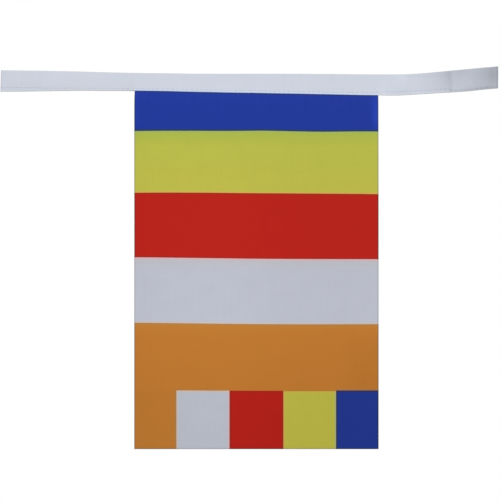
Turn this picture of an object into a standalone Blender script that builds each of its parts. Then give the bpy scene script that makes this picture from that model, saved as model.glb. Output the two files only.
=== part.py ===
"""A flag string: one upright flag of thin printed cloth, sewn by its top edge into a white tape.

The tape is folded double along its length, with the fold on top. The flag's top edge lies between
its two leaves, and the flag hangs straight down from them. The tape runs on past the flag to both
sides, leans back over the flag, and swings towards the viewer near its right end.

The frame is in metres: X runs to the viewer's right, Y away from the viewer and Z up. The origin is
on the tape's fold, over the middle of the flag.
"""

import math
from collections import namedtuple

import bpy
import numpy as np

MM = 0.001

FLAG_WIDTH = 140 * MM
FLAG_HEIGHT = 210 * MM       # as cut, with the edge that is tucked into the tape
FLAG_THICKNESS = 1.0 * MM
FLAG_FOOT = -216.08 * MM     # height of the flag's level foot
BEND_LENGTH = 9 * MM         # stretch under the tape in which the flag turns from leaning to upright
FLUTE_START = 2 * MM         # the flag's soft flutes begin this far under the tape
FLUTE_FULL = 80 * MM         # and have their whole depth this far under it

TAPE_WIDTH = 25.4 * MM       # flat; the folded tape is half as wide
TAPE_THICKNESS = 1.0 * MM
FOLD_RADIUS = 0.7 * MM       # of the middle of the cloth, where the tape turns over
CLEARANCE = 0.35 * MM        # between the flag and each leaf
CLOSING_LENGTH = 16 * MM     # stretch beside the flag in which the leaves close up
STRAIGHT_END = 4.5 * MM      # each cut end is this long without bend or twist

TAPE_STEPS = 66              # grid cells along the tape
LEAF_STEPS = 3               # and down each leaf
TURN_STEPS = 5               # and round the fold
FLAG_COLUMNS = 28
FLAG_ROWS = 42
ROW_CROWDING = 1.5           # over 1, the flag's rows lie closer together near the tape

# The middle line of the folded tape, from its left end to its right end, in millimetres and degrees.
# "ahead" is how far it lies towards the viewer, "rise" how far up, both from its place over the
# flag's middle. "lean" is the tape's angle from upright, with its fold away from the viewer.
Station = namedtuple("Station", "along ahead rise lean")
TAPE_ROUTE = (
    Station(-147.55, 0.0, 1.5, 4.5),
    Station(-134.0, 0.0, 1.45, 9.7),
    Station(-105.0, 0.0, 1.35, 20.2),
    Station(-68.0, 0.0, 0.85, 27.2),
    Station(-35.0, 0.0, 0.35, 25.2),
    Station(0.0, 0.0, 0.0, 20.0),
    Station(35.0, 0.0, -0.32, 14.6),
    Station(68.0, 0.0, -0.78, 10.2),
    Station(80.0, 0.0, -0.82, 8.2),
    Station(88.0, 0.0, -0.55, 12.2),
    Station(97.0, 0.3, -0.05, 10.9),
    Station(107.0, 1.85, 0.53, 7.0),
    Station(112.5, 3.45, 0.68, 2.4),
    Station(120.0, 5.6, 1.0, -0.6),
    Station(128.0, 8.3, 1.44, 2.5),
    Station(136.72, 12.38, 1.6, 5.5),
)

# Soft upright flutes in the hanging flag, in millimetres: the place of each one's middle, its half
# width, and how far it stands towards the viewer at the flag's foot.
Flute = namedtuple("Flute", "along half_width depth")
FLUTES = (
    Flute(-2.0, 40.0, -1.2),
    Flute(76.0, 26.0, 0.7),
)


def new_collection(name):
    """An empty collection in the scene."""
    collection = bpy.data.collections.new(name)
    bpy.context.scene.collection.children.link(collection)
    return collection


def cloth_material(name, colour, roughness):
    """A Principled material of one plain colour, with the values of woven cloth."""
    material = bpy.data.materials.new(name)
    material.use_nodes = True
    shader = material.node_tree.nodes["Principled BSDF"]
    shader.inputs["Base Color"].default_value = (*colour, 1.0)
    shader.inputs["Roughness"].default_value = roughness
    shader.inputs["Metallic"].default_value = 0.0
    return material


def cloth_sheet(name, columns, rows, place, thickness, material, collection):
    """A grid whose two parameters, each from 0 to 1, are carried to their places, with a thickness."""
    bpy.ops.mesh.primitive_grid_add(x_subdivisions=columns, y_subdivisions=rows, size=1)
    sheet = bpy.context.object
    sheet.name = name
    for other in sheet.users_collection:
        other.objects.unlink(sheet)
    collection.objects.link(sheet)
    mesh = sheet.data
    mesh.name = name
    flat = np.empty(len(mesh.vertices) * 3)
    mesh.vertices.foreach_get("co", flat)
    u, v, _ = flat.reshape(-1, 3).T + 0.5
    mesh.vertices.foreach_set("co", place(u, v).ravel())
    mesh.shade_smooth()
    mesh.materials.append(material)
    solidify = sheet.modifiers.new("cloth thickness", "SOLIDIFY")
    solidify.thickness = thickness
    solidify.offset = 0.0
    return sheet


def eased(t):
    """0 before 0 and 1 after 1, with a smooth rise between."""
    t = np.clip(t, 0.0, 1.0)
    return t * t * (3 - 2 * t)


def route_value(column, along):
    """One column of the tape's route, on cubic pieces through its stations that share their slopes."""
    at = np.array([station.along for station in TAPE_ROUTE])
    value = np.array([getattr(station, column) for station in TAPE_ROUTE])
    slope = np.gradient(value, at)
    low, high = at[0] + STRAIGHT_END / MM, at[-1] - STRAIGHT_END / MM
    x = np.clip(along / MM, low, high)
    i = np.clip(np.searchsorted(at, x) - 1, 0, len(at) - 2)
    span = at[i + 1] - at[i]
    t = (x - at[i]) / span
    return (
        (1 + 2 * t) * (1 - t) ** 2 * value[i]
        + t * (1 - t) ** 2 * span * slope[i]
        + t * t * (3 - 2 * t) * value[i + 1]
        + t * t * (t - 1) * span * slope[i + 1]
    )


def tape_frame(along):
    """The folded tape's middle point, its direction, its own upward way and its front, by place."""
    middle_lean = math.radians(float(route_value("lean", np.array([0.0]))[0]))
    half = TAPE_WIDTH / 4
    low = TAPE_ROUTE[0].along * MM + STRAIGHT_END
    high = TAPE_ROUTE[-1].along * MM - STRAIGHT_END

    def middle(x):
        y = -half * math.sin(middle_lean) - route_value("ahead", x) * MM
        z = -half * math.cos(middle_lean) + route_value("rise", x) * MM
        return np.stack([x, y, z], axis=-1)

    step = 0.05 * MM
    inner = np.clip(along, low, high)
    direction = middle(np.minimum(inner + step, high)) - middle(np.maximum(inner - step, low))
    direction /= np.linalg.norm(direction, axis=-1, keepdims=True)
    point = middle(inner) + direction * (along - inner)[:, None]
    upright = np.array([0.0, 0.0, 1.0]) - direction * direction[:, 2:]
    upright /= np.linalg.norm(upright, axis=-1, keepdims=True)
    back = np.cross(upright, direction)
    lean = np.radians(route_value("lean", along))[:, None]
    up = upright * np.cos(lean) + back * np.sin(lean)
    return point, direction, up, np.cross(direction, up)


def leaf_offset(along):
    """How far each leaf's middle lies from the tape's middle plane at the leaf's lower edge."""
    over_flag = FLAG_THICKNESS / 2 + CLEARANCE + TAPE_THICKNESS / 2
    outside = np.abs(along) - FLAG_WIDTH / 2 - TAPE_THICKNESS
    return over_flag + (FOLD_RADIUS - over_flag) * eased(outside / CLOSING_LENGTH)


def tape_place(u, v):
    """The folded tape: down the front leaf as v falls to 0, over the fold, and down the back leaf.

    u goes along the tape. In section the leaves lie side by side from their lower edges up, draw
    together in their last row of cells, and meet in a half circle.
    """
    along = TAPE_ROUTE[0].along * MM + u * (TAPE_ROUTE[-1].along - TAPE_ROUTE[0].along) * MM
    point, _, up, front = tape_frame(along)
    steps = np.rint(v * (2 * LEAF_STEPS + TURN_STEPS))
    leaf_foot = -TAPE_WIDTH / 4
    turn_height = TAPE_WIDTH / 4 - TAPE_THICKNESS / 2 - FOLD_RADIUS
    on_front = np.clip(steps / LEAF_STEPS, 0.0, 1.0)
    on_back = np.clip((steps - LEAF_STEPS - TURN_STEPS) / LEAF_STEPS, 0.0, 1.0)
    turned = math.pi * np.clip((steps - LEAF_STEPS) / TURN_STEPS, 0.0, 1.0)
    share_down = 1.0 - on_front + on_back
    height = turn_height + (leaf_foot - turn_height) * share_down + FOLD_RADIUS * np.sin(turned)
    parted = np.minimum(share_down * LEAF_STEPS, 1.0)
    offset = (FOLD_RADIUS + (leaf_offset(along) - FOLD_RADIUS) * parted) * np.cos(turned)
    return point + up * height[:, None] + front * offset[:, None]


def flute_depth(x, under_tape):
    """How far the hanging flag stands towards the viewer: soft ridges that deepen downwards."""
    shape = sum(
        flute.depth * MM * np.exp(-(((x / MM - flute.along) / flute.half_width) ** 2))
        for flute in FLUTES
    )
    return shape * eased((under_tape - FLUTE_START) / (FLUTE_FULL - FLUTE_START))


def flag_place(u, v):
    """The flag: along the leaning tape while it is between the leaves, then round into the upright.

    u goes across and v up. Under the tape the cloth's angle falls evenly from the tape's lean to
    none along BEND_LENGTH, which is a circular arc, and from there it hangs straight down.
    """
    x = (u - 0.5) * FLAG_WIDTH
    point, _, up, _ = tape_frame(x)
    lip = point - up * TAPE_WIDTH / 4
    lean = np.radians(route_value("lean", x))
    radius = BEND_LENGTH / lean
    hanging = lip[:, 2] - FLAG_FOOT - radius * np.sin(lean) + BEND_LENGTH
    under_tape = hanging - FLAG_HEIGHT * (1.0 - (1.0 - v) ** ROW_CROWDING)
    angle = lean * (1.0 - np.clip(under_tape / BEND_LENGTH, 0.0, 1.0))
    below_bend = np.maximum(under_tape - BEND_LENGTH, 0.0)
    place = lip - up * np.minimum(under_tape, 0.0)[:, None]
    place[:, 1] -= radius * (np.cos(angle) - np.cos(lean)) + flute_depth(x, under_tape)
    place[:, 2] -= radius * (np.sin(lean) - np.sin(angle)) + below_bend
    return place


def build():
    """Clears the scene and makes the two pieces."""
    for old in list(bpy.data.objects):
        bpy.data.objects.remove(old)
    string = new_collection("flag_string")
    white_tape = cloth_material("white tape", (0.62, 0.65, 0.72), 0.75)
    printed_cloth = cloth_material("printed cloth", (0.50, 0.18, 0.03), 0.8)
    cloth_sheet(
        "heading_tape",
        TAPE_STEPS,
        2 * LEAF_STEPS + TURN_STEPS,
        tape_place,
        TAPE_THICKNESS,
        white_tape,
        string,
    )
    cloth_sheet(
        "flag_panel", FLAG_COLUMNS, FLAG_ROWS, flag_place, FLAG_THICKNESS, printed_cloth, string
    )


build()
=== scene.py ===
"""The looks of a flag string: one upright printed flag, sewn by its top edge into a folded white tape.

The solids of the flag and of the tape are each replaced by thin cloth of the same form, and the sewing
is added. The string hangs in the air by the tape's fold, as in the photograph.

Everything is in metres: X runs to the viewer's right, Y away from the viewer and Z up. The origin is on
the tape's fold, over the middle of the flag.
"""

import math
from collections import namedtuple

import bpy
import numpy as np
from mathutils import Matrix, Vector


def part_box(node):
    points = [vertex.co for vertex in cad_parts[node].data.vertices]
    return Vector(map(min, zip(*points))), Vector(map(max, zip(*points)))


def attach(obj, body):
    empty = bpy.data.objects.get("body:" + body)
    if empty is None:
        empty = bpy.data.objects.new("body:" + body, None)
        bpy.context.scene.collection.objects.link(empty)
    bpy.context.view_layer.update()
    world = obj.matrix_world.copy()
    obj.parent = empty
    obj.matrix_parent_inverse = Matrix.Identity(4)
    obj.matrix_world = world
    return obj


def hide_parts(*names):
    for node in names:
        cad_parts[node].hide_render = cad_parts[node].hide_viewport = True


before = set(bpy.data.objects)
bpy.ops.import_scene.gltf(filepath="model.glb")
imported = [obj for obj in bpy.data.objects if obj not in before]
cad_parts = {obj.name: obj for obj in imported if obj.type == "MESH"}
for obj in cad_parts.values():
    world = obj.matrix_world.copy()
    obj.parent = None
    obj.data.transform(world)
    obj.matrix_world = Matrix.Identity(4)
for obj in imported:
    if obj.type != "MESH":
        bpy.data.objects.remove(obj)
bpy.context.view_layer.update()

MM = 0.001

# The cut sizes of the two pieces of cloth, and what they measure through.
FLAG_WIDTH = 140 * MM
FLAG_HEIGHT = 210 * MM
FLAG_CLOTH = 0.22 * MM
CUT_EDGE = 0.34 * MM         # the flag's hot-cut edges are melted into a thin bead
BEAD_WIDTH = 0.24 * MM
TAPE_WIDTH = 25.4 * MM
TAPE_CLOTH = 0.38 * MM

# The flag's form, as the solid has it.
FLAG_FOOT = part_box("flag_panel")[0][2]
BEND_LENGTH = 9 * MM         # stretch under the tape in which the flag turns from leaning to upright
FLUTE_START = 2 * MM         # the flag's soft flutes begin this far under the tape
FLUTE_FULL = 80 * MM         # and have their whole depth this far under it
STRAIGHT_END = 4.5 * MM      # each cut end of the tape is this long without bend or twist

# The middle line of the folded tape, from its left end to its right end, in millimetres and degrees.
# "ahead" is how far it lies towards the viewer, "rise" how far up, both from its place over the
# flag's middle. "lean" is the tape's angle from upright, with its fold away from the viewer.
Station = namedtuple("Station", "along ahead rise lean")
TAPE_ROUTE = (
    Station(-147.55, 0.0, 1.5, 4.5),
    Station(-134.0, 0.0, 1.45, 9.7),
    Station(-105.0, 0.0, 1.35, 20.2),
    Station(-68.0, 0.0, 0.85, 27.2),
    Station(-35.0, 0.0, 0.35, 25.2),
    Station(0.0, 0.0, 0.0, 20.0),
    Station(35.0, 0.0, -0.32, 14.6),
    Station(68.0, 0.0, -0.78, 10.2),
    Station(80.0, 0.0, -0.82, 8.2),
    Station(88.0, 0.0, -0.55, 12.2),
    Station(97.0, 0.3, -0.05, 10.9),
    Station(107.0, 1.85, 0.53, 7.0),
    Station(112.5, 3.45, 0.68, 2.4),
    Station(120.0, 5.6, 1.0, -0.6),
    Station(128.0, 8.3, 1.44, 2.5),
    Station(136.72, 12.38, 1.6, 5.5),
)
LEFT_END = TAPE_ROUTE[0].along * MM
RIGHT_END = TAPE_ROUTE[-1].along * MM

# Soft upright flutes in the hanging flag, in millimetres: the place of each one's middle, its half
# width, and how far it stands towards the viewer at the flag's foot.
Flute = namedtuple("Flute", "along half_width depth")
FLUTES = (
    Flute(-2.0, 40.0, -1.2),
    Flute(76.0, 26.0, 0.7),
)

# The flag's sides curl away from the viewer: how wide the curl is, how deep at the tape, and how far
# under the tape it has died away.
Curl = namedtuple("Curl", "side width depth reach")
SIDE_CURLS = (
    Curl(-1, 3.0 * MM, 0.10 * MM, 60 * MM),
    Curl(1, 4.0 * MM, 0.65 * MM, 38 * MM),
)
PUCKER_DEPTH = 0.05 * MM     # of the small gathers that the seam draws in the flag
PUCKER_LENGTH = 7 * MM       # they die away over this length

# The tape's section. The leaves lie close at the seam, swell a little between it and the fold, and the
# lip below the seam flares out.
FOLD_RADIUS = 0.42 * MM
TURN_HEIGHT = TAPE_WIDTH / 4 - TAPE_CLOTH / 2 - FOLD_RADIUS
CLOSED_ON_FLAG = 0.36 * MM   # each leaf's middle from the folded tape's middle plane, over the flag
CLOSED_BESIDE = 0.25 * MM    # and where leaf lies on leaf
CLOSING_LENGTH = 4.5 * MM
LIP_FLARE = 0.11 * MM
GROOVE_DEPTH = 0.05 * MM     # the seam presses this groove into each leaf
GROOVE_HALF_WIDTH = 0.42 * MM
BACK_LIP_SHORT = 0.35 * MM   # the back leaf ends this much higher than the front one

# The seam: its height over the front lip, in millimetres, how hard it is drawn, as a share of the
# groove's depth, how far the leaf swells out between the seam and the fold, in millimetres, and how
# much painted shade darkens the tape there below its clean white; below nought it is painted light.
SeamPoint = namedtuple("SeamPoint", "along up pull swell grey")
SEAM = (
    SeamPoint(-147.5, 2.45, 0.2, 0.05, 0.005),
    SeamPoint(-128.0, 2.35, 0.3, 0.05, 0.010),
    SeamPoint(-122.0, 1.75, 0.5, 0.06, 0.012),
    SeamPoint(-75.0, 1.60, 0.5, 0.10, 0.022),
    SeamPoint(-60.0, 1.50, 0.3, 0.15, 0.008),
    SeamPoint(38.0, 1.45, 0.3, 0.18, 0.000),
    SeamPoint(52.0, 1.45, 0.8, 0.16, 0.000),
    SeamPoint(66.0, 1.50, 0.9, 0.16, -0.012),
    SeamPoint(74.0, 2.15, 0.8, 0.10, -0.024),
    SeamPoint(86.0, 2.20, 0.7, 0.06, -0.015),
    SeamPoint(104.0, 2.20, 0.9, 0.05, -0.010),
    SeamPoint(110.0, 2.15, 0.8, 0.02, -0.028),
    SeamPoint(112.5, 1.00, 0.7, 0.0, -0.022),
    SeamPoint(119.0, 0.95, 0.9, 0.0, -0.010),
    SeamPoint(127.0, 1.00, 1.2, 0.0, 0.0),
    SeamPoint(136.7, 1.05, 1.0, 0.0, 0.0),
)
STITCH_PITCH = 2.8 * MM
THREAD_RADIUS = 0.13 * MM

# Creases in the tape: soft ridges from one place to another, each given along the tape and up from the
# lip, with a half width to the left of the line, one to its right, a height towards the viewer, and
# the length over which it fades past its ends. A height below nought is a trough. All in millimetres.
Crease = namedtuple("Crease", "from_along from_up to_along to_up left right height fade")
TAPE_CREASES = (
    Crease(112.6, -1.5, 111.7, 14.0, 1.5, 1.9, 0.135, 1.4),
    Crease(88.0, 10.4, 106.0, 9.1, 0.6, 0.8, -0.110, 3.0),
    Crease(68.4, 3.6, 73.4, 0.6, 0.5, 0.5, 0.070, 1.0),
    Crease(115.2, 0.5, 115.4, 5.0, 0.9, 0.9, 0.030, 1.4),
    Crease(124.0, 6.4, 130.0, 6.8, 5.0, 4.2, -0.700, 6.0),
    Crease(-125.3, 1.5, -124.4, 6.0, 0.8, 0.8, 0.030, 1.4),
    Crease(-143.6, 1.0, -143.4, 12.0, 0.6, 0.6, 0.014, 1.4),
    Crease(-145.4, 1.0, -145.3, 12.0, 0.5, 0.5, 0.012, 1.4),
)

# The inks, in linear light, and the dye of each upright in the foot row.
BLUE = (0.0116, 0.0406, 0.3575)
YELLOW = (0.5414, 0.5540, 0.0717)
DEEP_YELLOW = (0.5650, 0.5480, 0.0717)
GREENISH_YELLOW = (0.4430, 0.5290, 0.0750)
RED = (0.5358, 0.0127, 0.0056)
WHITE = (0.5660, 0.5870, 0.6757)
WARM_WHITE = (0.5680, 0.5620, 0.6180)
ORANGE = (0.5875, 0.2084, 0.0273)
PALE_ORANGE = (0.5875, 0.2250, 0.0314)
FOOT_ORANGE = (0.5672, 0.2070, 0.0277)
FOOT_WHITE = (0.5571, 0.5865, 0.6676)
FOOT_BLUE = (0.0107, 0.0352, 0.2942)
FOOT_YELLOW = (0.5579, 0.5317, 0.0634)
FOOT_RED = (0.5109, 0.0095, 0.0033)
TAPE_WHITE = (0.6860, 0.7270, 0.8190)
LIP_WHITE = (0.6300, 0.7260, 0.9950)     # the tape's lip, tinged by the blue band close under it
EDGE_WHITE = (0.6930, 0.7270, 0.7820)    # and along the fold and the free lips, a little yellowed
REVERSE_GREY = (0.62, 0.63, 0.66)        # the cloth itself, which shows through on the flag's reverse
REVERSE_FADE = 0.15                      # by this share
FLECK_BROWN = (0.20, 0.11, 0.13)
FLECK_PLACE = (73.6 * MM, 1.3 * MM, 0.0)     # along the tape from its left end, and up from its lip

# The bands, counted up from the orange one: the height over the flag's foot of each one's lower border,
# in millimetres, at the flag's left side, middle and right side. The dye runs "run" past the border to
# either side, and the lightness changes within "edge" of it. Where both are wide the band has no border,
# but tints within it, where it has taken up some of its neighbour's dye. The dye's border lies "lift"
# higher than the lightness's.
Band = namedtuple("Band", "left middle right ink run edge lift")
BANDS = (
    Band(68.70, 68.30, 68.30, PALE_ORANGE, 3.00, 3.00, 0.0),
    Band(72.33, 71.79, 71.75, WHITE, 1.55, 0.10, 0.0),
    Band(105.30, 105.00, 104.70, WARM_WHITE, 3.50, 3.50, 0.0),
    Band(109.75, 109.34, 109.07, RED, 1.55, 0.10, -0.08),
    Band(146.60, 146.95, 146.38, DEEP_YELLOW, 1.55, 0.10, 0.0),
    Band(159.00, 159.00, 159.00, YELLOW, 9.00, 9.00, 0.0),
    Band(177.40, 177.90, 177.80, GREENISH_YELLOW, 4.50, 4.50, 0.0),
    Band(181.92, 182.47, 182.46, BLUE, 1.55, 0.10, 0.20),
)
# The foot row's uprights after the orange one at its left: where each begins, across from the flag's
# middle, and how high it reaches.
Upright = namedtuple("Upright", "at top ink")
FOOT_ROW = (
    Upright(-45.96, 33.51, FOOT_WHITE),
    Upright(-15.61, 33.50, FOOT_RED),
    Upright(15.30, 33.28, FOOT_YELLOW),
    Upright(45.63, 33.71, FOOT_BLUE),
)
RUN, EDGE = 1.55, 0.10       # the same two widths at the foot row's borders and the flag's outline
FOOT_ROW_LIFT = -0.12        # the dye's lift at the foot row's top border
OUTLINE_PALING = 0.28        # how far the dye pales to white at the flag's outline
RAGGED = 0.22                # the borders waver over this width, in millimetres
# Near the seam the cloth is drawn up or down, and the print with it.
Pull = namedtuple("Pull", "along half_width rise")
SEAM_PULLS = (
    Pull(3.0, 13.0, 0.28),
    Pull(38.0, 14.0, -0.25),
)
PULL_START, PULL_FULL = 150 * MM, 182 * MM
FOOT_RISE = 0.19             # the foot was cut this much higher for each part it hangs nearer the viewer

# The photograph's view: level and face on, with 500 by 500 pixels over this width of the flag's plane.
VIEW_WIDTH = 286.67 * MM
VIEW_MIDDLE = Vector((-3.9, -5.8, -101.95)) * MM
CAMERA_DISTANCE = 600 * MM
SENSOR = 36.0

# The floor, in metres.
FLOOR_RADIUS = 1.2
FLOOR_LEVEL = -0.6           # far below the flag's foot, out of the photograph's view


def eased(t):
    """0 before 0 and 1 after 1, with a smooth rise between."""
    t = np.clip(t, 0.0, 1.0)
    return t * t * (3 - 2 * t)


def bell(distance, half_width):
    """A bell curve: 1 at no distance, falling to about a third at the half width."""
    return np.exp(-((distance / half_width) ** 2))


def route_value(column, along):
    """One column of the tape's route, on cubic pieces through its stations that share their slopes."""
    at = np.array([station.along for station in TAPE_ROUTE])
    value = np.array([getattr(station, column) for station in TAPE_ROUTE])
    slope = np.gradient(value, at)
    low, high = at[0] + STRAIGHT_END / MM, at[-1] - STRAIGHT_END / MM
    x = np.clip(along / MM, low, high)
    i = np.clip(np.searchsorted(at, x) - 1, 0, len(at) - 2)
    span = at[i + 1] - at[i]
    t = (x - at[i]) / span
    return (
        (1 + 2 * t) * (1 - t) ** 2 * value[i]
        + t * (1 - t) ** 2 * span * slope[i]
        + t * t * (3 - 2 * t) * value[i + 1]
        + t * t * (t - 1) * span * slope[i + 1]
    )


def tape_frame(along):
    """The folded tape's middle point, its direction, its own upward way and its front, by place."""
    middle_lean = math.radians(float(route_value("lean", np.array([0.0]))[0]))
    half = TAPE_WIDTH / 4
    low = LEFT_END + STRAIGHT_END
    high = RIGHT_END - STRAIGHT_END

    def middle(x):
        y = -half * math.sin(middle_lean) - route_value("ahead", x) * MM
        z = -half * math.cos(middle_lean) + route_value("rise", x) * MM
        return np.stack([x, y, z], axis=-1)

    step = 0.05 * MM
    inner = np.clip(along, low, high)
    direction = middle(np.minimum(inner + step, high)) - middle(np.maximum(inner - step, low))
    direction /= np.linalg.norm(direction, axis=-1, keepdims=True)
    point = middle(inner) + direction * (along - inner)[..., None]
    upright = np.array([0.0, 0.0, 1.0]) - direction * direction[..., 2:]
    upright /= np.linalg.norm(upright, axis=-1, keepdims=True)
    back = np.cross(upright, direction)
    lean = np.radians(route_value("lean", along))[..., None]
    up = upright * np.cos(lean) + back * np.sin(lean)
    return point, direction, up, np.cross(direction, up)


def seam_value(column, along):
    """One column of the seam's points, on straight lines between them."""
    at = np.array([point.along for point in SEAM]) * MM
    return np.interp(along, at, [getattr(point, column) for point in SEAM])


def seam_height(along):
    """How far the seam lies from the folded tape's middle line, counted up: below nought, near the lip."""
    return seam_value("up", along) * MM - TAPE_WIDTH / 4


def crease_relief(along, height):
    """How far the tape's creases stand towards the viewer.

    Each is a bell curve of the distance from its line, with its own half width to each side, and a bell
    curve of the distance past either of the line's ends.
    """
    relief = np.zeros_like(along)
    up = height + TAPE_WIDTH / 4
    for crease in TAPE_CREASES:
        start = np.array([crease.from_along, crease.from_up]) * MM
        line = np.array([crease.to_along, crease.to_up]) * MM - start
        length = np.linalg.norm(line)
        line /= length
        over = (along - start[0]) * line[0] + (up - start[1]) * line[1]
        aside = (along - start[0]) * line[1] - (up - start[1]) * line[0]
        past = np.maximum(np.maximum(-over, over - length), 0.0)
        half_width = np.where(aside < 0, crease.left, crease.right) * MM
        relief += crease.height * MM * bell(aside, half_width) * bell(past, crease.fade * MM)
    return relief


def leaf_offset(along, height):
    """How far each leaf's middle lies from the folded tape's middle plane.

    At the seam the leaves are closed, on the flag or on each other. Above it they part to the fold's
    radius along a straight line, with half a sine wave of swelling. Below it the lip flares as the
    square of the distance. The seam's groove is a bell curve, a little deeper at each needle hole.
    """
    beside = np.abs(along) - FLAG_WIDTH / 2
    closed = CLOSED_ON_FLAG + (CLOSED_BESIDE - CLOSED_ON_FLAG) * eased(beside / CLOSING_LENGTH)
    seam = seam_height(along)
    above = np.clip((height - seam) / (TURN_HEIGHT - seam), 0.0, 1.0)
    below = np.clip((seam - height) / (seam + TAPE_WIDTH / 4), 0.0, 1.0)
    hole = 0.5 + 0.5 * np.cos(2 * math.pi * (along - LEFT_END) / STITCH_PITCH)
    drawn = seam_value("pull", along) * (0.75 + 0.25 * hole)
    groove = GROOVE_DEPTH * drawn * bell(height - seam, GROOVE_HALF_WIDTH)
    swell = seam_value("swell", along) * MM * np.sin(math.pi * above)
    flare = LIP_FLARE * below**2 * (1.0 - 0.18 * hole)
    return closed + (FOLD_RADIUS - closed) * above**2 + swell + flare - groove


def waver(along):
    """A slow uneven wave of the tape towards the viewer and back: two sines of unlike lengths."""
    return 0.05 * MM * np.sin(along / (9.7 * MM) + 0.8) + 0.03 * MM * np.sin(along / (3.9 * MM) + 2.0)


def leaf_place(along, height, side, out=0.0):
    """A place on a leaf, or out from its middle: side is 1 on the front leaf and -1 on the back one."""
    point, _, up, front = tape_frame(along)
    offset = side * (leaf_offset(along, height) + out) + crease_relief(along, height) + waver(along)
    return point + up * height[..., None] + front * offset[..., None]


def crowded(length, cells, edge_lines):
    """Places from 0 to the length in even cells, with extra lines close to both ends."""
    inner = np.linspace(0.0, length, cells + 1)[1:-1]
    near = np.array(edge_lines)
    inner = inner[(inner > near[-1]) & (inner < length - near[-1])]
    return np.concatenate([[0.0], near, inner, (length - near)[::-1], [length]])


def grid_quads(rows, columns):
    """The quads of a grid of points laid row by row, turned to face the viewer where rows run upwards."""
    corner = (np.arange(rows - 1)[:, None] * columns + np.arange(columns - 1)).ravel()
    return np.stack([corner, corner + 1, corner + columns + 1, corner + columns], axis=1)


def new_piece(name, places, faces, materials):
    """A smooth-shaded mesh object at the origin, with the points, faces and materials given."""
    mesh = bpy.data.meshes.new(name)
    mesh.from_pydata(np.asarray(places).reshape(-1, 3).tolist(), [], [list(face) for face in faces])
    for material in materials:
        mesh.materials.append(material)
    mesh.shade_smooth()
    piece = bpy.data.objects.new(name, mesh)
    bpy.context.scene.collection.objects.link(piece)
    return piece


def add_place(piece, name, values):
    """Keeps one vector for each point, such as its place on the flat cloth, for the material to read."""
    attribute = piece.data.attributes.new(name, "FLOAT_VECTOR", "POINT")
    attribute.data.foreach_set("vector", np.asarray(values, dtype=np.float32).ravel())


def add_mask(piece, name, values):
    """Keeps one number for each point, for the material to read."""
    attribute = piece.data.attributes.new(name, "FLOAT", "POINT")
    attribute.data.foreach_set("value", np.asarray(values, dtype=np.float32).ravel())


def give_thickness(piece, thickness, thin_share=1.0, group=None, inner_material=0):
    """A Solidify modifier around the middle surface. A vertex group makes its points thicker."""
    solidify = piece.modifiers.new("cloth thickness", "SOLIDIFY")
    solidify.thickness = thickness
    solidify.offset = 0.0
    solidify.material_offset = inner_material
    if group:
        solidify.vertex_group = group
        solidify.thickness_vertex_group = thin_share


def flutes(x):
    """How far the flag's flutes stand towards the viewer where they have their whole depth."""
    return sum(flute.depth * MM * bell(x / MM - flute.along, flute.half_width) for flute in FLUTES)


def foot_height(x):
    """The height of the flag's foot: it rises a little where it hangs nearer the viewer."""
    point, _, up, _ = tape_frame(x)
    lip = point - up * TAPE_WIDTH / 4
    lean = np.radians(route_value("lean", x))
    nearer = flutes(x) - lip[..., 1] + BEND_LENGTH / lean * (1 - np.cos(lean)) + VIEW_MIDDLE.y
    return FLAG_FOOT + FOOT_RISE * nearer


def hanging_length(x):
    """The flag's length under the tape's lip, from which it reaches its foot."""
    point, _, up, _ = tape_frame(x)
    lip = point - up * TAPE_WIDTH / 4
    lean = np.radians(route_value("lean", x))
    return lip[..., 2] - foot_height(x) - BEND_LENGTH / lean * np.sin(lean) + BEND_LENGTH


def off_plane(x, under_tape):
    """How far the flag stands away from the viewer: its flutes, curled sides and gathers at the seam."""
    away = -flutes(x) * eased((under_tape - FLUTE_START) / (FLUTE_FULL - FLUTE_START))
    for curl in SIDE_CURLS:
        share = np.clip(1.0 - (FLAG_WIDTH / 2 - curl.side * x) / curl.width, 0.0, 1.0)
        hangs = eased(under_tape / BEND_LENGTH) * (1.0 - eased(under_tape / curl.reach))
        away += curl.depth * share**2 * hangs
    gathers = np.sin(math.pi * x / STITCH_PITCH) * np.sin(x / (7.3 * MM) + 1.0)
    below = np.maximum(under_tape, 0.0)
    away += PUCKER_DEPTH * gathers * (below / MM) * np.exp(-below / PUCKER_LENGTH * 2)
    return away


def flag_place(x, down):
    """Where the flag's points lie, x across from its middle and down from its tucked top edge.

    Between the leaves it follows the folded tape's middle plane. Under the lip its angle falls evenly
    from the tape's lean to none along BEND_LENGTH, which is a circular arc, and from there it hangs
    straight down. Flutes, curls and gathers then move it to and fro.
    """
    point, _, up, _ = tape_frame(x)
    lip = point - up * TAPE_WIDTH / 4
    lean = np.radians(route_value("lean", x))
    radius = BEND_LENGTH / lean
    under_tape = down - FLAG_HEIGHT + hanging_length(x)
    angle = lean * (1.0 - np.clip(under_tape / BEND_LENGTH, 0.0, 1.0))
    below_bend = np.maximum(under_tape - BEND_LENGTH, 0.0)
    place = lip - up * np.minimum(under_tape, 0.0)[..., None]
    place[..., 1] += off_plane(x, under_tape) - radius * (np.cos(angle) - np.cos(lean))
    place[..., 2] -= radius * (np.sin(lean) - np.sin(angle)) + below_bend
    return place


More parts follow.
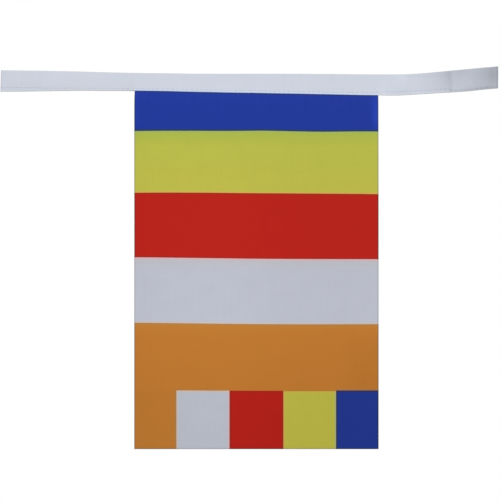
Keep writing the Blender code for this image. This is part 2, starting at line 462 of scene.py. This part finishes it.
def print_place(x, up):
    """The printed design's own place for each point of the flag, across from the middle and up.

    Each band's lower border is a parabola through its heights at the flag's left side, middle and right
    side, and the top one is also bent by the seam's pulls. Between them the design is stretched evenly,
    so that every border comes to lie level, at its height over the middle.
    """
    across = x / (FLAG_WIDTH / 2)
    pull = sum(one.rise * MM * bell(x / MM - one.along, one.half_width) for one in SEAM_PULLS)
    pull = pull * eased((up - PULL_START) / (PULL_FULL - PULL_START))
    up = up - pull
    printed = np.zeros_like(up)
    foot, foot_printed = 0.0, 0.0
    for left, middle, right in [band[:3] for band in BANDS] + [(FLAG_HEIGHT / MM,) * 3]:
        border = (middle + (right - left) / 2 * across + ((left + right) / 2 - middle) * across**2) * MM
        share = np.clip((up - foot) / (border - foot), 0.0, 1.0)
        printed += share * (middle * MM - foot_printed)
        foot, foot_printed = border, middle * MM
    return np.stack([x, printed, np.zeros_like(x)], axis=-1)


def make_flag():
    """The flag's cloth: a grid across and down the cut rectangle, carried to its hanging form."""
    edge_lines = (0.15 * MM, 0.32 * MM, 0.7 * MM)
    across = crowded(FLAG_WIDTH, 110, edge_lines) - FLAG_WIDTH / 2
    up = crowded(FLAG_HEIGHT, 164, edge_lines)
    up, x = np.meshgrid(up, across, indexing="ij")
    flag = new_piece(
        "flag_cloth",
        flag_place(x, FLAG_HEIGHT - up),
        grid_quads(*x.shape),
        [printed_cloth("printed face", 0.0), printed_cloth("printed reverse", REVERSE_FADE)],
    )
    add_place(flag, "cloth_place", np.stack([x, up, np.zeros_like(x)], axis=-1))
    add_place(flag, "print_place", print_place(x, up))
    edge_distance = np.minimum(FLAG_WIDTH / 2 - np.abs(x), up)
    melted = bell(edge_distance, BEAD_WIDTH) * eased((FLAG_HEIGHT - up - 6 * MM) / (2 * MM))
    add_mask(flag, "melted_edge", melted)
    add_mask(flag, "inside_outline", np.minimum(edge_distance, hanging_length(x) - up) / MM)
    bead = flag.vertex_groups.new(name="melted bead")
    for index in np.flatnonzero(melted.ravel() > 0.01):
        bead.add([int(index)], float(melted.ravel()[index]), "REPLACE")
    give_thickness(flag, CUT_EDGE, FLAG_CLOTH / CUT_EDGE, "melted bead", 1)
    return flag


def make_tape():
    """The tape's cloth: a grid along it and round its folded section, from the front lip to the back one.

    In section the front leaf climbs from its lip, its points closer together near the seam. The fold is
    a half circle, and the back leaf runs down again as the front one does. The masks that its material
    reads are bell curves of the distance from the fold, the lips and the cut ends.
    """
    leaf_rows, turn_rows = 30, 8
    along = crowded(RIGHT_END - LEFT_END, 552, (0.15 * MM, 0.4 * MM)) + LEFT_END
    crowding = (np.arange(leaf_rows + 1) / leaf_rows) ** 1.3
    foot = -TAPE_WIDTH / 4
    climb = foot + (TURN_HEIGHT - foot) * crowding
    back_climb = foot + BACK_LIP_SHORT + (TURN_HEIGHT - foot - BACK_LIP_SHORT) * crowding
    turned = math.pi * np.arange(1, turn_rows) / turn_rows
    front_leaf, front_along = np.meshgrid(climb, along, indexing="ij")
    back_leaf, back_along = np.meshgrid(back_climb[::-1], along, indexing="ij")
    turn, turn_along = np.meshgrid(turned, along, indexing="ij")
    point, _, up, front = tape_frame(turn_along)
    turn_height = TURN_HEIGHT + FOLD_RADIUS * np.sin(turn)
    shift = crease_relief(turn_along, turn_height) + waver(turn_along)
    fold = (
        point
        + up * turn_height[..., None]
        + front * (FOLD_RADIUS * np.cos(turn) + shift)[..., None]
    )
    places = np.concatenate(
        [leaf_place(front_along, front_leaf, 1), fold, leaf_place(back_along, back_leaf, -1)]
    )
    tape = new_piece("tape_cloth", places, grid_quads(*places.shape[:2]), [woven_tape()])
    steps = np.linalg.norm(np.diff(tape_frame(along)[0], axis=0), axis=-1)
    run = np.concatenate([[0.0], np.cumsum(steps)])
    round_steps = np.linalg.norm(np.diff(places[:, len(along) // 2], axis=0), axis=-1)
    round_run = np.concatenate([[0.0], np.cumsum(round_steps)])
    across, lengthwise = np.meshgrid(round_run, run, indexing="ij")
    add_place(tape, "cloth_place", np.stack([lengthwise, across, np.zeros_like(across)], axis=-1))
    fold_distance = np.abs(across - (round_run[leaf_rows] + math.pi / 2 * FOLD_RADIUS))
    lip_distance = np.minimum(across, round_run[-1] - across)
    free = eased((lengthwise + LEFT_END - 100 * MM) / (20 * MM))
    free_left = eased((-lengthwise - LEFT_END - 75 * MM) / (20 * MM))
    past_crease = eased((lengthwise + LEFT_END - 109 * MM) / (3 * MM))
    past_crease += eased((lengthwise + LEFT_END - 121 * MM) / (6 * MM))
    # Painted shade along the fold, more at the right end, at the lips on the left and in a band past the
    # right-end crease, with painted light above that band; the melted cut ends are darker too.
    melted_ends_and_painted_shading = 0.02 * bell(fold_distance, 0.5 * MM) + 0.07 * free * bell(fold_distance, 0.9 * MM)
    melted_ends_and_painted_shading += 0.22 * bell(lengthwise, 0.35 * MM)
    melted_ends_and_painted_shading += 0.30 * bell(run[-1] - lengthwise, 0.60 * MM)
    melted_ends_and_painted_shading += 0.02 * free_left * bell(lip_distance, 0.5 * MM)
    melted_ends_and_painted_shading += 0.04 * past_crease * bell(lip_distance - 0.9 * MM, 0.5 * MM)
    melted_ends_and_painted_shading -= 0.015 * past_crease * bell(lip_distance - 2.6 * MM, 1.2 * MM)
    # Painted shade and light along the tape, as the seam table's last column gives.
    melted_ends_and_painted_shading += seam_value("grey", lengthwise + LEFT_END)
    add_mask(tape, "melted_ends_and_painted_shading", melted_ends_and_painted_shading)
    over_flag = 1.0 - eased((np.abs(lengthwise + LEFT_END) - FLAG_WIDTH / 2) / MM + 0.5)
    add_mask(tape, "lip_on_blue", bell(across, 1.0 * MM) * over_flag)
    yellowed = bell(fold_distance, 0.8 * MM) + bell(lip_distance, 0.8 * MM) * (1.0 - over_flag)
    add_mask(tape, "yellowed_edge", yellowed)
    give_thickness(tape, TAPE_CLOTH)
    return tape, run[-1]


def make_stitches():
    """The seam's thread: on each leaf a row of short tubes of six sides, one for each stitch.

    A stitch comes out of one needle hole, lies on the cloth and goes into the next hole: its height over
    the cloth falls as the fourth power of the distance from its middle, so both ends are sunk. It slants
    a little, as a lock stitch does.
    """
    rings, sides = 9, 6
    count = int((RIGHT_END - LEFT_END) / STITCH_PITCH)
    share = np.linspace(0.03, 0.97, rings)
    start = LEFT_END + STITCH_PITCH * np.arange(count)
    along, t = np.broadcast_arrays(start[:, None] + STITCH_PITCH * share, share)
    height = seam_height(along) + 0.10 * MM * (t - 0.5)
    sunk = 0.40 * MM * (2 * t - 1) ** 4
    places = []
    for side in (1, -1):
        groove = TAPE_CLOTH / 2 + 0.55 * THREAD_RADIUS
        middle = leaf_place(along, height, side, groove - sunk)
        _, _, up, front = tape_frame(along)
        for k in range(sides):
            around = 2 * math.pi * k / sides * side
            places.append(middle + THREAD_RADIUS * (up * math.sin(around) + front * math.cos(around)))
    places = np.stack(places).reshape(2, sides, count, rings, 3).transpose(0, 2, 3, 1, 4)
    tubes = places.reshape(2 * count, rings, sides, 3)
    first = (np.arange(2 * count) * rings * sides)[:, None, None]
    ring = (np.arange(rings - 1) * sides)[:, None]
    at, after = np.arange(sides), (np.arange(sides) + 1) % sides
    quads = np.stack(
        [first + ring + at, first + ring + after, first + ring + sides + after, first + ring + sides + at],
        axis=-1,
    ).reshape(-1, 4)
    last = (rings - 1) * sides
    caps = [list(start + np.arange(sides)[::-1]) for start in first.ravel()]
    caps += [list(start + last + np.arange(sides)) for start in first.ravel()]
    stitches = new_piece("seam_stitches", tubes, quads.tolist() + caps, [sewing_thread()])
    turn = np.broadcast_to(2 * math.pi * np.arange(sides) / sides, (2 * count, rings, sides))
    lengthwise = np.broadcast_to(np.tile(along, (2, 1))[:, :, None], turn.shape)
    add_place(stitches, "thread_place", np.stack([lengthwise, np.sin(turn), np.cos(turn)], axis=-1))
    return stitches


class Wiring:
    """Adds nodes to one node tree. A value handed to it is a number, a tuple or another node's output."""

    SHARE, FIRST, SECOND, MIXED = 0, 6, 7, 2     # the colour sockets of a Mix node

    def __init__(self, tree):
        self.tree = tree

    def feed(self, socket, value):
        """Links the value to the socket, or sets it there. A colour of three numbers is made opaque."""
        if isinstance(value, bpy.types.NodeSocket):
            self.tree.links.new(value, socket)
        elif socket.type == "RGBA":
            socket.default_value = (*value, 1.0)
        else:
            socket.default_value = value

    def add(self, kind, inputs=(), **settings):
        """A new node with its settings, and its inputs fed by name or number."""
        node = self.tree.nodes.new(kind)
        for name, value in settings.items():
            setattr(node, name, value)
        for key, value in dict(inputs).items():
            self.feed(node.inputs[key], value)
        return node

    def math(self, operation, *values, clamp=False):
        """One sum, product or other function of numbers."""
        node = self.add("ShaderNodeMath", enumerate(values), operation=operation, use_clamp=clamp)
        return node.outputs[0]

    def split(self, vector):
        """The three numbers of a vector."""
        return self.add("ShaderNodeSeparateXYZ", {0: vector}).outputs

    def join(self, x, y, z=0.0):
        """A vector of three numbers."""
        return self.add("ShaderNodeCombineXYZ", {0: x, 1: y, 2: z}).outputs[0]

    def times(self, vector, factor):
        """A vector or colour times a number."""
        node = self.add("ShaderNodeVectorMath", {0: vector, 3: factor}, operation="SCALE")
        return node.outputs[0]

    def noise(self, vector, scale, detail=2.0):
        """Soft noise with values round a half."""
        inputs = {"Vector": vector, "Scale": scale, "Detail": detail}
        return self.add("ShaderNodeTexNoise", inputs).outputs["Fac"]

    def ramp(self, value, low, high, to_low=0.0, to_high=1.0, way="LINEAR"):
        """A value carried from one span to another, straight or smoothly, and held at its ends."""
        inputs = enumerate((value, low, high, to_low, to_high))
        return self.add("ShaderNodeMapRange", inputs, interpolation_type=way).outputs[0]

    def mix(self, share, first, second):
        """A colour between two others."""
        inputs = {self.SHARE: share, self.FIRST: first, self.SECOND: second}
        node = self.add("ShaderNodeMix", inputs, data_type="RGBA")
        return node.outputs[self.MIXED]

    def attribute(self, name):
        """What the piece keeps at each point under a name."""
        return self.add("ShaderNodeAttribute", attribute_name=name).outputs


def new_group(name, inputs, outputs):
    """An empty shader node group with named sockets, its wiring, and what is given to it by name."""
    group = bpy.data.node_groups.new(name, "ShaderNodeTree")
    for socket, kind in inputs:
        group.interface.new_socket(socket, in_out="INPUT", socket_type=kind)
    for socket, kind in outputs:
        group.interface.new_socket(socket, in_out="OUTPUT", socket_type=kind)
    wiring = Wiring(group)
    return group, wiring, wiring.add("NodeGroupInput").outputs, wiring.add("NodeGroupOutput").inputs


def woven_cloth_group():
    """A plain weave, one thread over and one under, with uneven yarn and soft mottling.

    Height: across each thread it follows the size of a sine wave. Where the product of both sines is
    above nought the warp lies on top, below nought the weft. Shade is a factor close to 1: painted shade
    makes it less in the gaps between threads, and the yarn's tone streaks it along them by drawn-out
    noise and mottles it by broad noise.
    """
    number = "NodeSocketFloat"
    group, wire, given, out = new_group(
        "woven cloth",
        [
            ("Place", "NodeSocketVector"),
            ("Pitch", number),
            ("Gaps", number),
            ("Streaks", number),
            ("Mottle", number),
        ],
        [("Height", number), ("Shade", number)],
    )
    threads = wire.times(given["Place"], wire.math("DIVIDE", 1.0, given["Pitch"]))
    x, y, _ = wire.split(threads)
    warp_wave = wire.math("SINE", wire.math("MULTIPLY", x, math.pi))
    weft_wave = wire.math("SINE", wire.math("MULTIPLY", y, math.pi))
    over = wire.math("MULTIPLY", wire.math("MULTIPLY", warp_wave, weft_wave), 0.5)
    warp = wire.math("MULTIPLY", wire.math("ABSOLUTE", warp_wave), wire.math("ADD", 0.5, over))
    weft = wire.math("MULTIPLY", wire.math("ABSOLUTE", weft_wave), wire.math("SUBTRACT", 0.5, over))
    height = wire.math("MAXIMUM", warp, weft)
    fine_x, fine_y = wire.math("MULTIPLY", x, 0.45), wire.math("MULTIPLY", y, 0.45)
    long_x, long_y = wire.math("MULTIPLY", x, 0.012), wire.math("MULTIPLY", y, 0.012)
    down_yarn = wire.noise(wire.join(fine_x, long_y), 1.0)
    cross_yarn = wire.noise(wire.join(long_x, fine_y, 7.0), 1.0)
    yarn = wire.math("SUBTRACT", wire.math("ADD", down_yarn, cross_yarn), 1.0)
    mottle = wire.math("SUBTRACT", wire.noise(given["Place"], 90.0, 3.0), 0.5)
    # Painted shade in the gaps between threads.
    gap = wire.math("MULTIPLY", wire.math("SUBTRACT", height, 0.53), given["Gaps"])
    streak = wire.math("MULTIPLY", yarn, given["Streaks"])
    broad = wire.math("MULTIPLY", mottle, given["Mottle"])
    shade = wire.math("ADD", wire.math("ADD", gap, streak), wire.math("ADD", broad, 1.0))
    wire.feed(out["Height"], height)
    wire.feed(out["Shade"], shade)
    return group


LIGHTNESS_SHARES = (0.299, 0.587, 0.114)


def display(ink):
    """A linear colour in display values."""
    return tuple(channel ** (1 / 2.2) for channel in ink)


def lightness(ink):
    """How light a linear colour is, in display values."""
    return sum(share * channel for share, channel in zip(LIGHTNESS_SHARES, display(ink)))


def painted_print_shading(wire, across, up):
    """Painted shade and light on the print: a factor close to 1, by place in millimetres.

    The colours are painted darker a little down the foot row and down the orange band, and painted lighter
    up to the tape and to the left. The orange is painted darker at its right, and a painted highlight
    makes the blue paler along the flag's sides. Each part is a straight change between two places, and
    all are added or multiplied.
    """
    in_row = wire.ramp(up, 0.0, 34.0, 0.965, 1.0)
    in_orange = wire.ramp(up, 34.0, 70.0, 0.925, 1.0)
    upwards = wire.ramp(up, 100.0, 205.0, 1.0, 1.015)
    sideways = wire.ramp(across, -10.0, 70.0, 1.006, 0.990)
    to_left = wire.ramp(across, -70.0, 70.0, 0.012, -0.012)
    in_blue = wire.math("MULTIPLY", wire.ramp(up, 110.0, 190.0), to_left)
    to_right = wire.ramp(across, 47.0, 60.0, 0.0, -0.05)
    right_orange = wire.math("MULTIPLY", to_right, wire.ramp(up, 67.0, 58.0))
    right_orange = wire.math("MULTIPLY", right_orange, wire.ramp(up, 33.0, 34.0))
    left_side = wire.ramp(across, -68.5, -66.0, 0.12, 0.0)
    right_side = wire.ramp(across, 64.5, 68.5, 0.0, 0.30)
    # A painted highlight that makes the blue paler along both of the flag's sides.
    side_highlight = wire.math("MULTIPLY", wire.math("ADD", left_side, right_side), wire.ramp(up, 182.5, 188.0))
    in_blue = wire.math("ADD", in_blue, side_highlight)
    shade = wire.math("MULTIPLY", upwards, sideways)
    shade = wire.math("ADD", shade, wire.math("ADD", in_blue, right_orange))
    return wire.math("MULTIPLY", shade, wire.math("MULTIPLY", in_row, in_orange))


def flag_print_group():
    """The flag's design: level bands in five inks over a foot row of uprights.

    Two things are worked out in display values, which are the linear ones to the power 1 / 2.2. The dye
    runs smoothly from ink to ink over a run to each side of their border, and pales the same way at the
    flag's outline. The lightness changes in a straight line within the border's edge, which may lie a
    little off the middle of the dye's run. The dye is then made lighter or darker as a whole, to that
    lightness, made linear again, and given painted shade and light by place. Place is in metres, across
    from the flag's middle and up from its foot, and Inside is in millimetres from the outline.
    """
    group, wire, given, out = new_group(
        "flag print",
        [("Place", "NodeSocketVector"), ("Inside", "NodeSocketFloat")],
        [("Colour", "NodeSocketColor")],
    )
    ragged = wire.math("SUBTRACT", wire.noise(given["Place"], 1900.0, 1.0), 0.5)
    ragged = wire.math("MULTIPLY", ragged, RAGGED)
    across, up, _ = wire.split(wire.times(given["Place"], 1 / MM))
    across, up = wire.math("ADD", across, ragged), wire.math("ADD", up, ragged)

    def sharp(value, border, after=1.0, edge=EDGE):
        return wire.ramp(value, border - edge, border + edge, 0.0, after)

    def soft(value, border, run=RUN):
        return wire.ramp(value, border - run, border + run, way="SMOOTHSTEP")

    def printed(value, first, steps):
        dye, light, last = display(first), lightness(first), first
        for border, ink, run, edge, lift in steps:
            dye = wire.mix(soft(value, border + lift, run), dye, display(ink))
            light = wire.math("ADD", light, sharp(value, border, lightness(ink) - lightness(last), edge))
            last = ink
        return dye, light

    bands = [(band.middle, band.ink, band.run, band.edge, band.lift) for band in BANDS]
    dye, light = printed(up, ORANGE, bands)
    uprights = [(upright.at, upright.ink, RUN, EDGE, 0.0) for upright in FOOT_ROW]
    row_dye, row_light = printed(across, FOOT_ORANGE, uprights)
    top = FOOT_ROW[0].top
    for before, upright in zip(FOOT_ROW, FOOT_ROW[1:]):
        top = wire.math("ADD", top, sharp(across, upright.at, upright.top - before.top))
    over_row = wire.math("SUBTRACT", up, top)
    dye = wire.mix(soft(over_row, FOOT_ROW_LIFT), row_dye, dye)
    light_difference = wire.math("SUBTRACT", light, row_light)
    light = wire.math("ADD", row_light, wire.math("MULTIPLY", sharp(over_row, 0.0), light_difference))
    pale = wire.ramp(given["Inside"], 0.0, RUN, OUTLINE_PALING, 0.0, "SMOOTHSTEP")
    dye = wire.mix(pale, dye, (1.0, 1.0, 1.0))
    dye_light = wire.add("ShaderNodeVectorMath", {0: dye, 1: LIGHTNESS_SHARES}, operation="DOT_PRODUCT")
    lighter = wire.math("SUBTRACT", light, dye_light.outputs["Value"])
    moved = wire.add("ShaderNodeVectorMath", {0: dye, 1: lighter}, operation="ADD").outputs[0]
    moved = wire.add("ShaderNodeVectorMath", {0: moved, 1: (0.0, 0.0, 0.0)}, operation="MAXIMUM").outputs[0]
    colour = wire.add("ShaderNodeGamma", {"Color": moved, "Gamma": 2.2}).outputs[0]
    # The print times its painted shade and light.
    wire.feed(out["Colour"], wire.times(colour, painted_print_shading(wire, across, up)))
    return group


def cloth_material(name, roughness, sheen):
    """A new material, its wiring and its Principled shader, set for matte cloth."""
    material = bpy.data.materials.new(name)
    material.use_nodes = True
    shader = material.node_tree.nodes["Principled BSDF"]
    shader.inputs["Roughness"].default_value = roughness
    shader.inputs["Specular IOR Level"].default_value = 0.18
    shader.inputs["Sheen Weight"].default_value = sheen
    shader.inputs["Sheen Roughness"].default_value = 0.45
    return material, Wiring(material.node_tree), shader


def give_weave(wire, shader, place, pitch, gaps, streaks, mottle, depth):
    """Places the woven cloth group, feeds its bump to the shader, and gives its height and shade."""
    weave = wire.add(
        "ShaderNodeGroup",
        node_tree=bpy.data.node_groups.get("woven cloth") or woven_cloth_group(),
    )
    values = {"Place": place, "Pitch": pitch, "Gaps": gaps, "Streaks": streaks, "Mottle": mottle}
    for name, value in values.items():
        wire.feed(weave.inputs[name], value)
    relief = {"Height": weave.outputs["Height"], "Distance": depth, "Strength": 0.6}
    bump = wire.add("ShaderNodeBump", relief)
    wire.feed(shader.inputs["Normal"], bump.outputs["Normal"])
    return weave.outputs["Height"], weave.outputs["Shade"]


def printed_cloth(name, fade):
    """The flag's printed polyester. fade is how much paler it is on the reverse, where less ink shows."""
    material, wire, shader = cloth_material(name, 0.8, 0.05)
    place = wire.attribute("cloth_place")["Vector"]
    print_group = bpy.data.node_groups.get("flag print") or flag_print_group()
    design = wire.add("ShaderNodeGroup", node_tree=print_group)
    wire.feed(design.inputs["Place"], wire.attribute("print_place")["Vector"])
    wire.feed(design.inputs["Inside"], wire.attribute("inside_outline")["Fac"])
    height, shade = give_weave(wire, shader, place, 0.42 * MM, 0.07, 0.05, 0.05, 0.02 * MM)
    colour = wire.times(design.outputs["Colour"], shade)
    colour = wire.mix(fade, colour, REVERSE_GREY)
    melted = wire.attribute("melted_edge")["Fac"]
    colour = wire.times(colour, wire.ramp(wire.math("POWER", melted, 0.3), 0.0, 1.0, 1.0, 0.66))
    wire.feed(shader.inputs["Base Color"], colour)
    rough = wire.ramp(height, 0.0, 1.0, 0.88, 0.74)
    wire.feed(shader.inputs["Roughness"], wire.math("SUBTRACT", rough, wire.math("MULTIPLY", melted, 0.3)))
    return material


def woven_tape():
    """The white tape's cloth, with one dark fleck by the seam.

    It is a little yellowed along its fold and its free lips, tinged where its lip lies over the blue
    band, and darker by the share that its mask of painted shade and melted cut ends gives, lighter where
    that share is below nought. The fleck fades in a straight line outwards.
    """
    material, wire, shader = cloth_material("white woven tape", 0.78, 0.08)
    place = wire.attribute("cloth_place")["Vector"]
    height, shade = give_weave(wire, shader, place, 0.50 * MM, 0.08, 0.05, 0.03, 0.03 * MM)
    colour = wire.mix(wire.attribute("yellowed_edge")["Fac"], TAPE_WHITE, EDGE_WHITE)
    colour = wire.mix(wire.attribute("lip_on_blue")["Fac"], colour, LIP_WHITE)
    colour = wire.times(colour, shade)
    # Darker by the mask of painted shade and melted cut ends, lighter where its painted light takes it below
    # nought.
    colour = wire.times(colour, wire.math("SUBTRACT", 1.0, wire.attribute("melted_ends_and_painted_shading")["Fac"]))
    both = {0: place, 1: FLECK_PLACE}
    distance = wire.add("ShaderNodeVectorMath", both, operation="DISTANCE").outputs["Value"]
    fleck = wire.ramp(distance, 0.12 * MM, 0.42 * MM, 0.55, 0.0)
    colour = wire.mix(fleck, colour, FLECK_BROWN)
    wire.feed(shader.inputs["Base Color"], colour)
    wire.feed(shader.inputs["Roughness"], wire.ramp(height, 0.0, 1.0, 0.86, 0.72))
    return material


def sewing_thread():
    """White two-ply thread: its twist shows as slanting ridges, with a shade between them."""
    material, wire, shader = cloth_material("white sewing thread", 0.6, 0.1)
    along, sine, cosine = wire.split(wire.attribute("thread_place")["Vector"])
    turned = wire.math("MULTIPLY", along, 2 * math.pi / (0.55 * MM))
    turn = wire.math("ARCTAN2", sine, cosine)
    ply = wire.math("ABSOLUTE", wire.math("SINE", wire.math("ADD", turned, turn)))
    shade = wire.ramp(ply, 0.0, 1.0, 0.86, 1.03)
    wire.feed(shader.inputs["Base Color"], wire.times(TAPE_WHITE, shade))
    bump = wire.add("ShaderNodeBump", {"Height": ply, "Distance": 0.03 * MM, "Strength": 0.5})
    wire.feed(shader.inputs["Normal"], bump.outputs["Normal"])
    return material


def make_floor():
    """A pale round floor far below the flag's foot: even rings of points round one hub face."""
    rings, spokes = 23, 72
    reaches = FLOOR_RADIUS * np.arange(1, rings + 1) / rings
    turns = 2 * math.pi * np.arange(spokes) / spokes
    reach, turn = np.meshgrid(reaches, turns, indexing="ij")
    level = np.full_like(reach, FLOOR_LEVEL)
    places = np.stack([reach * np.cos(turn), reach * np.sin(turn), level], axis=-1)
    ring, at = np.arange(rings - 1)[:, None] * spokes, np.arange(spokes)
    corner, after = (ring + at).ravel(), (ring + (at + 1) % spokes).ravel()
    quads = np.stack([corner, corner + spokes, after + spokes, after], axis=1).tolist()
    floor = new_piece("pale_floor", places, quads + [list(at)], [floor_material()])


def floor_material():
    """Matte off-white, clear towards the rim, so that the floor runs into the background."""
    material = bpy.data.materials.new("pale floor")
    material.use_nodes = True
    wire = Wiring(material.node_tree)
    shader = material.node_tree.nodes["Principled BSDF"]
    shader.inputs["Base Color"].default_value = (0.86, 0.86, 0.86, 1.0)
    shader.inputs["Roughness"].default_value = 0.9
    place = wire.add("ShaderNodeTexCoord").outputs["Object"]
    x, y, _ = wire.split(place)
    distance = wire.add("ShaderNodeVectorMath", {0: wire.join(x, y)}, operation="LENGTH")
    distance = distance.outputs["Value"]
    wire.feed(shader.inputs["Alpha"], wire.ramp(distance, 0.35 * FLOOR_RADIUS, 0.97 * FLOOR_RADIUS, 1.0, 0.0))
    return material


def make_world():
    """White behind the string, and an even, softer light from all round it."""
    world = bpy.data.worlds.new("soft studio")
    world.use_nodes = True
    bpy.context.scene.world = world
    wire = Wiring(world.node_tree)
    seen = world.node_tree.nodes["Background"]
    seen.inputs["Color"].default_value = (1.0, 1.0, 1.0, 1.0)
    seen.inputs["Strength"].default_value = 1.0
    light = wire.add("ShaderNodeBackground", {"Color": (1.0, 1.0, 1.0), "Strength": 0.41})
    in_view = wire.add("ShaderNodeLightPath").outputs["Is Camera Ray"]
    both = wire.add("ShaderNodeMixShader", {0: in_view, 1: light.outputs[0], 2: seen.outputs[0]})
    wire.feed(world.node_tree.nodes["World Output"].inputs["Surface"], both.outputs[0])


def add_sun(name, right, up, strength, spread):
    """A sun light from a way given in degrees: right of the viewer's way, and up from level."""
    light = bpy.data.lights.new(name, "SUN")
    light.energy = strength
    light.angle = math.radians(spread)
    turn, rise = math.radians(right), math.radians(up)
    way = Vector((math.sin(turn) * math.cos(rise), -math.cos(turn) * math.cos(rise), math.sin(rise)))
    lamp = bpy.data.objects.new(name, light)
    lamp.rotation_euler = way.to_track_quat("Z", "Y").to_euler()
    bpy.context.scene.collection.objects.link(lamp)


def make_camera():
    """The photograph's view: level, face on, with the lens that fits its width at its distance."""
    camera = bpy.data.objects.new("photograph view", bpy.data.cameras.new("photograph view"))
    camera.data.sensor_width = SENSOR
    camera.data.lens = SENSOR * CAMERA_DISTANCE / VIEW_WIDTH
    camera.data.clip_start = 0.01
    camera.location = VIEW_MIDDLE - Vector((0.0, CAMERA_DISTANCE, 0.0))
    camera.rotation_euler = (math.radians(90.0), 0.0, 0.0)
    bpy.context.scene.collection.objects.link(camera)
    bpy.context.scene.camera = camera


make_camera()
make_world()
add_sun("key", 50.0, 23.0, 2.2, 24.0)
add_sun("back light", 205.0, 12.0, 1.1, 40.0)
bpy.context.scene.view_settings.view_transform = "Standard"
make_floor()

tape, tape_length = make_tape()
stitches = make_stitches()
flag = make_flag()

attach(tape, "root")
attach(stitches, "root")
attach(flag, "root")
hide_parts("heading_tape")
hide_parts("flag_panel")
